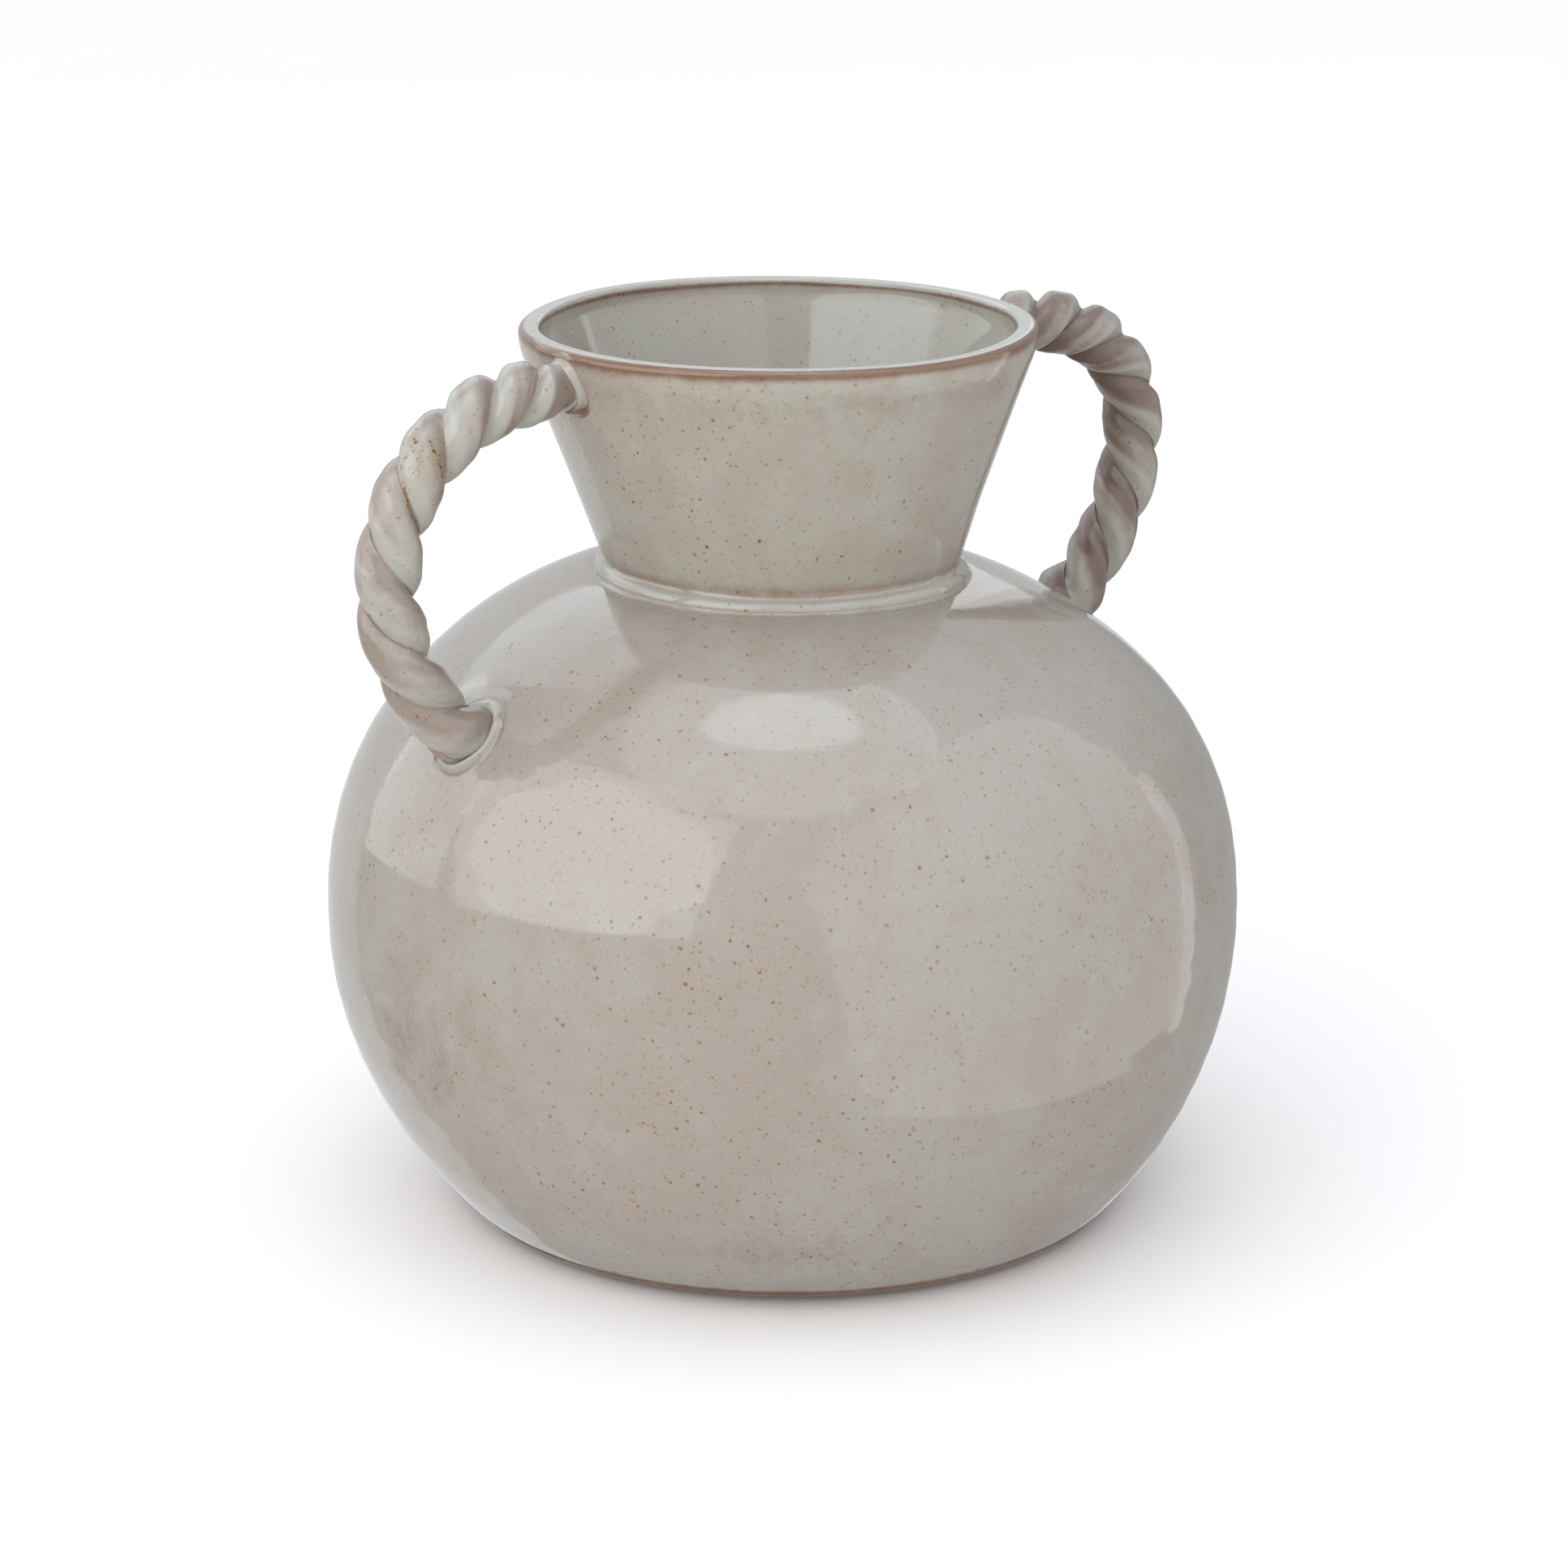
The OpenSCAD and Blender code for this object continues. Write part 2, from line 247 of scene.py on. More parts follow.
def body_outline():
    """Closed outline of the body's wall: outside from the foot up, then back down the inside."""
    bottom = FOOT_H + BASE_EDGE_R
    low = BELLY_Z - (BELLY_Z - bottom) * crowded(64)[::-1]
    high = BELLY_Z + (SHOULDER_Z - BELLY_Z) * crowded(100)[1:]
    z = np.concatenate([low, high])
    outer = np.stack([body_radius(z), z], 1)
    corner_r = outer[0, 0] - BASE_EDGE_R
    bevel = arc((corner_r, bottom), BASE_EDGE_R, -88, -2, 7)
    s = crowded(44)
    r_in = BELLY_R - BODY_WALL
    roof = SHOULDER_Z - BODY_WALL
    floor = FOOT_H + FLOOR_T
    upper_r = swell(s, r_in, THROAT_R, SHOULDER_POWER)
    lower_r = swell(s, r_in, BASE_R - FLOOR_INSET, BASE_POWER)
    upper = np.stack([upper_r, BELLY_Z + (roof - BELLY_Z) * s], 1)[::-1]
    lower = np.stack([lower_r, BELLY_Z + (floor - BELLY_Z) * s], 1)[1:]
    under = evenly([(AXIS_R, FOOT_H), (corner_r, FOOT_H)], 5.0)[:-1]
    land = evenly([(SHOULDER_R, SHOULDER_Z), (THROAT_R, SHOULDER_Z)], 1.5)[1:]
    inner_floor = evenly([(BASE_R - FLOOR_INSET, floor), (AXIS_R, floor)], 5.0)[1:]
    return np.concatenate([under, bevel, outer, land, upper, lower, inner_floor])


def body_relief(theta, r, z):
    """Throwing marks: how far the outside wall stands off its true shape."""
    outside = smooth(r, 56, 66)
    swirl = theta + z * 0.02
    slow = 0.16 * waves(11, theta, z, (1, 4), (0.01, 0.05)) - 0.18
    ripples = 0.05 * waves(12, theta, z, (2, 7), (0.09, 0.2), 6)
    throwing = 0.045 * np.sin(z * 0.62 + 0.8 * np.sin(swirl) + theta)
    ends = smooth(z, FOOT_H + 1, 14) * (1 - smooth(z, 178, 189))
    return (slow + ripples + throwing) * outside * ends


def make_body(material):
    """The glazed body, with glaze pooled by the neck's joint, a brown line along its base, and painted
    reflections, light and dark, on the side towards the camera.
    """
    outline = body_outline()
    around = 320

    def relief(theta, r, z):
        d = body_relief(theta, r, z)
        return d, 0 * d

    points, _, r, z = lathe(outline, around, relief)
    r, z = r.ravel(), z.ravel()
    to_right = points[:, 0] * VIEW_RIGHT[0] + points[:, 1] * VIEW_RIGHT[1]
    to_camera = -points[:, 0] * VIEW_IN[0] - points[:, 1] * VIEW_IN[1]
    bearing = np.degrees(np.arctan2(to_right, to_camera))
    # two brown patches of painted dark reflection and one pale patch of painted window reflection, on the
    # side towards the camera, by bearing and height
    joint = 1 - smooth(r, 55.5, 58.5)
    foot_line = (1 - smooth(z, 4.0, 7.0)) * (r > 80)
    painted_dark_reflections = 0.34 * bump(bearing, -50, 22) * bump(z, 74, 32) + 0.3 * bump(bearing, 6, 30) * bump(z, 22, 16)
    attributes = {
        "pool_and_light": 0.1 * joint + 0.4 * bump(bearing, -72, 14) * bump(z, 126, 18),
        "thin_and_shade": np.clip(0.8 * foot_line + painted_dark_reflections, 0, 1),
    }
    last = (len(outline) - 1) * around
    caps = [list(range(around))[::-1], list(range(last, last + around))]
    faces = [f[::-1] for f in grid_faces(len(outline), around) + caps]
    make_mesh("body_glazed", points, faces, attributes, material, ["body"], 50)


def make_foot(material):
    """Turned foot ring: bare clay with a rounded tread and fine turning lines."""
    inner = FOOT_R - FOOT_W
    edge = FOOT_EDGE_R
    around = 256
    outline = np.concatenate([
        evenly([(inner, FOOT_H), (inner, edge)], 0.7),
        arc((inner + edge, edge), edge, 180, 270, 6)[1:],
        evenly([(inner + edge, 0), (FOOT_R - edge, 0)], 0.6)[1:],
        arc((FOOT_R - edge, edge), edge, 270, 360, 6)[1:],
        evenly([(FOOT_R, edge), (FOOT_R, FOOT_H)], 0.7)[1:],
    ])

    def relief(theta, r, z):
        side = 0.12 * waves(21, theta, r, (3, 12), (0.1, 0.6)) * smooth(z, 0.3, 1.2)
        turned = 0.03 * (1 + np.sin(r * 5.2)) * (1 - smooth(z, 0.02, 0.4))
        return side, turned

    points = lathe(outline, around, relief)[0]
    faces = grid_faces(len(outline), around, closed_rows=True)
    make_mesh("foot_ring_bare", points, faces, {}, material, ["foot_ring"], 50)


def neck_outline():
    """Closed outline of the neck, in fine steps round the lip and coarse ones below it."""
    bend = (RIM_R - LIP_BEND_R, LIP_Z)
    outer_edge = (RIM_R - LIP_EDGE_R, LIP_Z)
    inner_edge = (RIM_R - NECK_WALL + LIP_INNER_EDGE_R, RIM_Z - LIP_INNER_EDGE_R)
    lean = math.degrees(NECK_LEAN)
    corners = np.concatenate([
        [(NECK_FOOT_R, SHOULDER_Z)],
        arc(bend, LIP_BEND_R, -lean, 0, 12),
        arc(outer_edge, LIP_EDGE_R, 10, 90, 14),
        arc(inner_edge, LIP_INNER_EDGE_R, 90, 180, 12),
        arc(bend, LIP_BEND_R - NECK_WALL, 0, -lean, 12),
        [(THROAT_R, SHOULDER_Z)],
    ])
    fine_step, coarse_step, fine_above = 0.45, 1.1, 246
    walls = evenly(corners, fine_step)
    land = evenly([(THROAT_R, SHOULDER_Z), (NECK_FOOT_R, SHOULDER_Z)], 1.2)[1:-1]
    keep = [0]
    for i in range(1, len(walls)):
        fine = walls[i][1] > fine_above or i == len(walls) - 1
        if fine or np.linalg.norm(walls[i] - walls[keep[-1]]) > coarse_step:
            keep.append(i)
    return np.concatenate([walls[keep], land])


def neck_relief(theta, z):
    """Slow unevenness of the neck's wall."""
    high = smooth(z, 196, 215)
    slow = 0.28 * waves(31, theta, z, (2, 4), (0.0, 0.03)) * high
    ripples = 0.05 * waves(32, theta, z, (2, 6), (0.1, 0.25)) * smooth(z, 194, 200)
    top = smooth(z, 259, 263)
    return (slow + ripples) * (1 - 0.4 * top) - 0.25 * high


def make_neck(material):
    """The flared neck, brown where the glaze ran thinly along the lip, with a line of painted shade in the
    crease above the joint.
    """
    outline = neck_outline()
    around = 384

    def relief(theta, r, z):
        top = smooth(z, 259, 263)
        lip = 0.22 * waves(33, theta, 0 * z, (2, 5), (0, 0.01)) * top - 0.32 * top
        return neck_relief(theta, z), lip

    points, theta, _, _ = lathe(outline, around, relief)
    theta = theta.ravel()
    r = np.repeat(outline[:, 0], around)
    z = np.repeat(outline[:, 1], around)
    straight = z < 254
    middle = RIM_R - NECK_WALL / 2 - ((LIP_Z - z) * math.tan(NECK_LEAN) + 1.0) * straight
    outside = r > middle
    inside = (1 - outside) * (z < 258)
    wander = 0.55 * waves(34, theta, 0 * theta, (2, 9), (0, 0.01), 7)
    lip_top = 262.0
    edge = smooth(r, RIM_R - 2.1, RIM_R - 1.2)
    outer_band = np.where(z > lip_top, 0.95, bump(z, lip_top, 2.2 + 0.6 * wander)) * edge
    inner_band = bump(z, 261.4 + 0.4 * wander, 0.9) * (r < RIM_R - NECK_WALL + 0.8)
    # painted shade: a brown line in the crease above the bead, at the neck's foot
    foot_line = 0.85 * bump(z, 195.0, 3.0) * outside
    below_lip = bump(z, 253, 7) * outside
    brown = outer_band + 0.8 * inner_band + 0.6 * foot_line + 0.25 * below_lip
    pale = 0.75 * smooth(z, lip_top, lip_top + 1) * (1 - edge) + 0.45 * inside
    attributes = {"pool_and_light": np.clip(pale, 0, 1), "thin_and_shade": np.clip(brown, 0, 1)}
    faces = [f[::-1] for f in grid_faces(len(outline), around, closed_rows=True)]
    make_mesh("neck_glazed", points, faces, attributes, material, ["neck"], 50)


def make_neck_coil(material):
    """Hand pressed bead of clay in the corner between neck and shoulder."""
    corner = np.array([NECK_FOOT_R, SHOULDER_Z])
    land = np.array([SHOULDER_R - NECK_FOOT_R, 0.0])
    wall = np.array([math.sin(NECK_LEAN), math.cos(NECK_LEAN)])
    bulge = COIL_H / math.cos(NECK_LEAN)
    # the lower edge feathers out on the shoulder, and the upper edge on the neck's wall
    toe_r = SHOULDER_R + np.array([-0.5, 2.2, 1.6, 1.15, 0.75, 0.4, 0.1])
    toe_h = np.array([-2.4, -0.12, 0.02, 0.11, 0.27, 0.55, 1.0])
    toe = np.stack([toe_r, body_radius_height(toe_r) + toe_h], 1)
    a = np.radians(np.linspace(14, 62, 24))
    front = corner + np.outer(np.cos(a), land) + np.outer(np.sin(a), wall * bulge)
    run_up = np.outer([4.72, 4.85, 5.1, 5.5, 6.1, 6.8, 7.5], wall)
    run_out = np.outer([1.7, 1.2, 0.75, 0.42, 0.2, 0.05, -0.08], NECK_NORMAL)
    back = corner + np.outer([7.0, 2.5, 0.0], wall) - np.outer([0.8, 0.8, 0.8], NECK_NORMAL)
    outline = np.concatenate([toe, front, corner + run_up + run_out, back])
    around = 360

    def relief(theta, r, z):
        press = 0.32 * waves(41, theta, 0 * z, (2, 5), (0, 0.01))
        press += 0.13 * waves(42, theta, 0 * z, (9, 21), (0, 0.01), 7)
        away = np.clip((r - NECK_FOOT_R) / (SHOULDER_R - NECK_FOOT_R), 0, 1) ** 0.7
        up = np.clip((z - SHOULDER_Z) / COIL_H, 0, 1) ** 0.7
        slim = 1.2 * np.cos(theta + VIEW_AZIMUTH) ** 2
        return (press * 0.9 - slim) * away, press * up * 0.9

    points = lathe(outline, around, relief)[0]
    up = np.repeat(outline[:, 1], around) - SHOULDER_Z
    attributes = {
        "pool_and_light": 0.62 * smooth(up, 0.8, 2.0) * (1 - smooth(up, 3.4, 4.7)),
        # brown where the bead runs up the neck and at its toe on the shoulder is painted shade in the
        # creases
        "thin_and_shade": 0.5 * smooth(up, 3.9, 5.0) + 0.3 * (1 - smooth(up, 0.3, 1.5)),
    }
    faces = grid_faces(len(outline), around, closed_rows=True)
    make_mesh("neck_joint_bead", points, faces, attributes, material,
              ["neck_joint_coil"], 80)


# ---- handles ----


class Handle:
    """One handle's centre line, a cubic Bezier in its plane, and how its strands turn."""

    def __init__(self, sizes, side):
        upper_z, lower_z, upper_rise, upper_arm, lower_rise, lower_arm, self.phase, self.turns = sizes
        self.side = side
        neck = np.array([NECK_FOOT_R + (upper_z - SHOULDER_Z) * math.tan(NECK_LEAN), upper_z])
        body = np.array([float(body_radius(lower_z)), lower_z])
        a, b = math.radians(upper_rise), math.radians(lower_rise)
        self.curve = np.array([
            neck,
            neck + upper_arm * np.array([math.cos(a), math.sin(a)]),
            body + lower_arm * np.array([math.cos(b), math.sin(b)]),
            body,
        ])
        dr = float(body_radius(lower_z + 0.5) - body_radius(lower_z - 0.5))
        self.body_normal = np.array([1.0, -dr]) / math.hypot(1.0, dr)
        self.first = self.crossing(self.curve, NECK_NORMAL)
        self.last = 1 - self.crossing(self.curve[::-1], self.body_normal)

    @staticmethod
    def at(curve, t):
        """Points of a cubic Bezier."""
        t = np.asarray(t, float)[..., None]
        s = 1 - t
        return s ** 3 * curve[0] + 3 * s ** 2 * t * curve[1] + 3 * s * t * t * curve[2] + t ** 3 * curve[3]

    @staticmethod
    def rate(curve, t):
        """How fast those points move as t grows."""
        t = np.asarray(t, float)[..., None]
        s = 1 - t
        leg = np.diff(curve, axis=0)
        return 3 * s ** 2 * leg[0] + 6 * s * t * leg[1] + 3 * t * t * leg[2]

    def crossing(self, curve, normal):
        """Where the centre line comes out of the joint pad's face."""
        t = PAD_T / float(self.rate(curve, 0) @ normal)
        short = PAD_T - float((self.at(curve, t) - curve[0]) @ normal)
        return t + short / float(self.rate(curve, t) @ normal)

    def frames(self, count, overrun):
        """Ring centres, directions, share of the length run, and the lean of each ring.

        The rings run on past both ends, into the joints, by overrun in the curve's parameter."""
        t = np.linspace(self.first - overrun, self.last + overrun, count)
        middle = self.at(self.curve, t)
        on = self.rate(self.curve, t)
        on /= np.linalg.norm(on, axis=1)[:, None]
        out = np.stack([-on[:, 1], on[:, 0]], 1)
        steps = np.linalg.norm(np.diff(middle, axis=0), axis=1)
        run = np.concatenate([[0], np.cumsum(steps)])
        a, b = np.interp(self.first, t, run), np.interp(self.last, t, run)
        u = (run - a) / (b - a)
        lean_up = -(out[0] @ NECK_NORMAL) / (on[0] @ NECK_NORMAL)
        lean_down = -(out[-1] @ self.body_normal) / (on[-1] @ self.body_normal)
        lean = lean_up * ramp(u) + lean_down * ramp(1 - u)
        return middle, on, out, u, lean, b - a

    def place(self, x, y, z):
        """From the handle's plane to space; the left handle is turned half a turn."""
        return np.stack([self.side * x, self.side * y, z], -1)


END_RAMP = 0.16


def ramp(x):
    """1 at an end of the handle, falling to 0 at END_RAMP of its length."""
    return np.clip(1 - x / END_RAMP, 0, 1) ** 2


def strand_radius(theta, depth):
    """Distance from the rope's axis to its skin; the groove lies at a right angle."""
    a, b = STRAND_T / 2, STRAND_HALF_W
    c = ROPE_R - a

    def lobe(angle):
        cos, sin = np.abs(np.cos(angle)), np.sin(angle)
        k = (cos / a) ** 2 + (sin / b) ** 2
        h = c * cos / a ** 2
        return (h + np.sqrt(h * h - k * (c * c / a ** 2 - 1))) / k

    sigmas = np.linspace(-2, 2, 17)
    spread = np.radians(10.0) * sigmas
    weight = np.exp(-sigmas ** 2 / 2)
    soft = sum(w * lobe(theta + s) for w, s in zip(weight, spread)) / weight.sum()
    round_r = (ROPE_R + STRAND_HALF_W) / 2
    return round_r + (soft - round_r) * depth


def strand_folds(u, theta, seed):
    """Soft folds left by rolling and twisting: how far they stand out, and the hollows among them."""
    rng = np.random.default_rng(seed)
    fold, hollow = 0.0 * u, 0.0 * u
    for _ in range(9):
        place_u = rng.uniform(0.05, 0.95)
        place_t = rng.uniform(-0.9, 0.9)
        slant = rng.uniform(-0.5, 0.5)
        reach = rng.uniform(0.05, 0.12)
        wide = rng.uniform(0.22, 0.4)
        line = bump(theta, place_t + slant * (u - place_u) / 0.1, wide) * bump(u, place_u, reach)
        amount = rng.uniform(0.12, 0.34) * rng.choice([-1, 1])
        fold += amount * line
        hollow += np.clip(amount, -0.3, 0) * -line
    return fold, hollow


def strand_skin(u, theta, along, seed):
    """Distance of a strand's skin from the rope's axis, and the hollows in it."""
    scale = 1 - 0.23 * ramp(np.clip(u, 0, 1)) + 0.13 * bump(u, 0.985, 0.05)
    scale = scale * (0.995 + 0.02 * waves(seed, 0 * u, along, (0, 0), (0.05, 0.16)))
    depth = 0.80 + 0.10 * waves(seed + 1, 0 * u, along, (0, 0), (0.04, 0.12))
    depth = depth + 0.42 * bump(u, 0.1, 0.26) + 0.30 * bump(u, 0.95, 0.22)
    pressed = 0.25 + 0.75 * smooth(u, 0.0, 0.055) * (1 - smooth(u, 0.955, 1.0))
    fold, hollow = strand_folds(u, theta, seed + 2)
    lumps = 0.10 * waves(seed + 3, theta * 2, along, (1, 3), (0.1, 0.4), 7)
    away = np.cos(theta) ** 0.5
    return (strand_radius(theta, depth * pressed) + (fold + lumps) * away) * scale, hollow


def strand_glaze(u, theta, along, hollow, seed):
    """Where the glaze pooled on a strand and where it ran thinly, with painted light and shade: one side
    pale as if lit, the other brown as if shaded, and brown painted shade in the groove, the hollows and near
    the ends.
    """
    side = np.sin(theta)
    end = np.clip(0.4 * ramp(np.clip(u, 0, 1)) + bump(u, 1.0, 0.03), 0, 1)
    drift = waves(seed, theta, along, (0, 2), (0.08, 0.3), 6)
    # pale band on one side of each strand: glaze pooled by the groove, and painted light on the side that
    # faces the lamp
    pool_and_light = smooth(-side, 0.0, 0.85) * (0.8 + 0.25 * drift) - 0.8 * smooth(-side, 0.985, 1.0)
    patchy = np.clip(0.25 + 0.45 * waves(seed + 1, 2 * theta, along, (1, 2), (0.1, 0.35), 6), 0, 1)
    # brown on the other side is painted shade on the side away from the lamp; patchy brown elsewhere is
    # glaze that ran thinly at random
    thin_and_shade = patchy * (1 - smooth(-side, 0.3, 0.8)) + (0.62 + 0.2 * drift) * smooth(side, 0.15, 0.9)
    # brown at the strand's edges deep in the groove, in the hollows among the folds and near the ends is
    # painted shade
    thin_and_shade = thin_and_shade + 0.8 * smooth(np.abs(side), 0.99, 1.0) + 1.2 * hollow + 0.3 * end * (1 - np.abs(side))
    return np.clip(pool_and_light, 0, 1), np.clip(thin_and_shade, 0, 1)


def make_strand(handle, start, name, node, material, seed):
    """Half of the twisted rope: a fat D-shaped coil with soft folds along it."""
    rings, half = 420, 72
    middle, on, out, u, lean, length = handle.frames(rings, 0.012)
    theta = np.linspace(-math.pi / 2, math.pi / 2, half)
    U, T = np.meshgrid(u, theta, indexing="ij")
    S = U * length
    R, hollow = strand_skin(U, T, S, seed)
    turn = np.radians(handle.phase + start + 360 * handle.turns * (U + TWIST_EASE * U * (1 - U)))
    flat = np.linspace(1, -1, 9)[1:-1]
    flat_x, corner_x = 0.03, 0.02  # the flat side stays this far from the other strand's
    local_x = np.concatenate([R * np.cos(T), np.full((rings, len(flat)), flat_x)], 1)
    local_x[:, 0] = local_x[:, half - 1] = corner_x
    local_y = np.concatenate([R * np.sin(T), flat[None, :] * R[:, -1:]], 1)
    turn = np.concatenate([turn, np.repeat(turn[:, :1], len(flat), 1)], 1)
    x = local_x * np.cos(turn) - local_y * np.sin(turn)
    y = local_x * np.sin(turn) + local_y * np.cos(turn)
    px = middle[:, None, 0] + out[:, None, 0] * x + on[:, None, 0] * x * lean[:, None]
    pz = middle[:, None, 1] + out[:, None, 1] * x + on[:, None, 1] * x * lean[:, None]
    points = handle.place(px, y, pz).reshape(-1, 3)
    columns = half + len(flat)
    faces = [f[::-1] for f in grid_faces(rings, columns)]
    faces += [list(range(columns)), [(rings - 1) * columns + i for i in range(columns)][::-1]]
    pool_and_light, thin_and_shade = strand_glaze(U, T, S, hollow, seed + 4)
    marks = {"pool_and_light": pool_and_light, "thin_and_shade": thin_and_shade}
    if handle.side < 0:
        marks["iron"], marks["iron_zone"] = iron_marks(U, T + turn[:, :half], length)
    unmarked = np.zeros((rings, len(flat)))
    attributes = {key: np.concatenate([values, unmarked], 1).ravel() for key, values in marks.items()}
    make_mesh(name, points, faces, attributes, material, [node], 62)


# iron bled through the glaze on the outer front of the left handle: where the patch lies along the
# handle and round it, how far it spreads, and the two runs, each from one end to the other
IRON_AT, IRON_ROUND = 0.372, math.radians(29)
IRON_SPREAD = (0.021, math.radians(22))
IRON_RUNS = (
    (0.42, math.radians(36), 0.474, math.radians(88)),
    (0.335, math.radians(42), 0.374, math.radians(102)),
)
IRON_RUN_R = 0.85


def iron_marks(u, around, length):
    """The iron marks themselves, and the zone round them that is peppered with dots."""
    def closeness(u1, a1, wide):
        off = (around - a1 + math.pi) % (2 * math.pi) - math.pi
        return np.exp(-((off * ROPE_R) ** 2 + ((u - u1) * length) ** 2) / wide ** 2)

    marks, zone = 0 * u, 0 * u
    rng = np.random.default_rng(97)
    for u1, a1, u2, a2 in IRON_RUNS:
        for t in np.linspace(0, 1, 40):
            bend = 0.004 * math.sin(math.pi * t)
            spot = closeness(u1 + (u2 - u1) * t - bend, a1 + (a2 - a1) * t, IRON_RUN_R)
            marks = np.maximum(marks, 0.68 * spot)
        for t in (0.25, 0.6, 0.95):
            drop = closeness(u1 + (u2 - u1) * t, a1 + (a2 - a1) * t, rng.uniform(0.4, 0.6))
            marks = np.maximum(marks, 1.1 * drop)
    for _ in range(16):
        place_u = IRON_AT + IRON_SPREAD[0] * rng.normal()
        place_a = IRON_ROUND + IRON_SPREAD[1] * rng.normal()
        spot = closeness(place_u, place_a, rng.uniform(0.4, 0.75))
        marks = np.maximum(marks, rng.uniform(0.7, 1.15) * spot)
        zone = np.maximum(zone, closeness(place_u, place_a, 1.7))
    return marks, zone


# ---- handle joints ----


def wall_patch(point, normal, wall_radius_at, rho, phi):
    """Points on a revolved wall round a joint, and the wall's outward normals there.

    phi 0 points up the wall, and phi 90 degrees runs round it towards +Y."""
    up = np.array([-normal[1], normal[0]])
    along = rho * np.cos(phi)
    across = rho * np.sin(phi)
    z = point[1] + along * up[1]
    r = wall_radius_at(z)
    angle = across / r
    dz = 0.4
    slope = (wall_radius_at(z + dz) - wall_radius_at(z - dz)) / (2 * dz)
    size = np.sqrt(1 + slope ** 2)
    n = np.stack([np.cos(angle) / size, np.sin(angle) / size, -slope / size], -1)
    p = np.stack([r * np.cos(angle), r * np.sin(angle), z], -1)
    return p, n


def neck_radius(z):
    """Outside radius of the neck at a height."""
    straight = NECK_FOOT_R + (z - SHOULDER_Z) * math.tan(NECK_LEAN)
    low = LIP_Z - LIP_BEND_R * math.sin(NECK_LEAN)
    bent = RIM_R - LIP_BEND_R + np.sqrt(np.clip(LIP_BEND_R ** 2 - (LIP_Z - z) ** 2, 0, None))
    return np.where(z > low, np.where(z > LIP_Z, RIM_R, bent), straight)


COLLAR_SINK = 0.8  # how deep the slip is pressed into the wall
UPPER_REACH, LOWER_REACH = 10.6, 17.4  # how far it spreads from the handle's middle


def make_collar(handle, point, normal, wall, relief, heights, reach, name, node, material):
    """Slip worked round a handle's end: a skin raised off the wall by heights(rho, phi)."""
    rho = np.linspace(2.0, reach, 90)
    phi = np.linspace(0, 2 * math.pi, 180, endpoint=False)
    R, P = np.meshgrid(rho, phi, indexing="ij")
    foot, n = wall_patch(point, normal, wall, R, P)
    r = np.hypot(foot[..., 0], foot[..., 1])
    theta = np.arctan2(handle.side * foot[..., 1], handle.side * foot[..., 0])
    foot[..., :2] *= (1 + relief(theta, r, foot[..., 2]) / r)[..., None]
    h, pool_and_light, thin_and_shade = heights(R, P)
    top = foot + n * h[..., None]
    under = foot - n * COLLAR_SINK
    points = np.concatenate([top.reshape(-1, 3), under[-1], under[0]])
    points = handle.place(points[:, 0], points[:, 1], points[:, 2])
    rows, columns = R.shape
    faces = [f[::-1] for f in grid_faces(rows, columns)]
    base = rows * columns
    last = base - columns
    for i in range(columns):
        j = (i + 1) % columns
        faces.append([last + i, last + j, base + j, base + i][::-1])
        faces.append([base + i, base + j, base + columns + j, base + columns + i][::-1])
        faces.append([base + columns + i, base + columns + j, j, i][::-1])
    tail = np.zeros(2 * columns)
    attributes = {
        "pool_and_light": np.concatenate([pool_and_light.ravel(), tail]),
        "thin_and_shade": np.concatenate([thin_and_shade.ravel(), tail]),
    }
    make_mesh(name, points, faces, attributes, material, [node], 75)


def upper_heights(side):
    """A round bead of slip that hugs the handle's end, with a pressed lump under it."""
    def heights(rho, phi):
        wobble = 0.12 * waves(51 + side, phi, 0 * phi, (1, 3), (0, 0.01))
        middle = 6.65 + 0.5 * np.cos(phi) + wobble
        tube = 0.95 + 0.12 * np.cos(phi - 0.6) + 0.08 * waves(52 + side, phi, 0 * phi, (2, 5), (0, 0.01))
        d = (rho - middle) / tube
        ring = np.sqrt(np.clip(1 - d * d, 0, 1)) * (tube + 1.0)
        fillet = 0.45 * np.exp(-np.clip(rho - middle - 0.8 * tube, 0, None) ** 2 / 0.2)
        inside = (tube + 0.9) * smooth(middle - rho, -0.9, 0.3)
        below = bump(np.cos(phi + 0.35), -1, 0.22)
        lump = 3.6 * below * bump(rho, 6.2, 1.4)
        h = np.maximum(np.maximum(ring, fillet), np.maximum(inside, lump))
        h = h * (1 - smooth(rho, 8.4, 10.2)) - 0.03 * smooth(rho, 9, 10.4)
        pool_and_light = 0.9 * bump(d, 0, 1.1) * (1 - 0.8 * below)
        # brown at the ring's inner edge, in the crease against the rope, and round its outer side is painted
        # shade; the lump under the ring is browned too
        thin_and_shade = 0.5 * bump(rho, middle - tube, 0.35) + 0.5 * bump(rho, middle + tube + 0.8, 0.5) + 0.8 * below
        return h, pool_and_light, np.clip(thin_and_shade, 0, 1)

    return heights


PEG_AT = math.radians(207)  # where the coil's tail lies round the foot


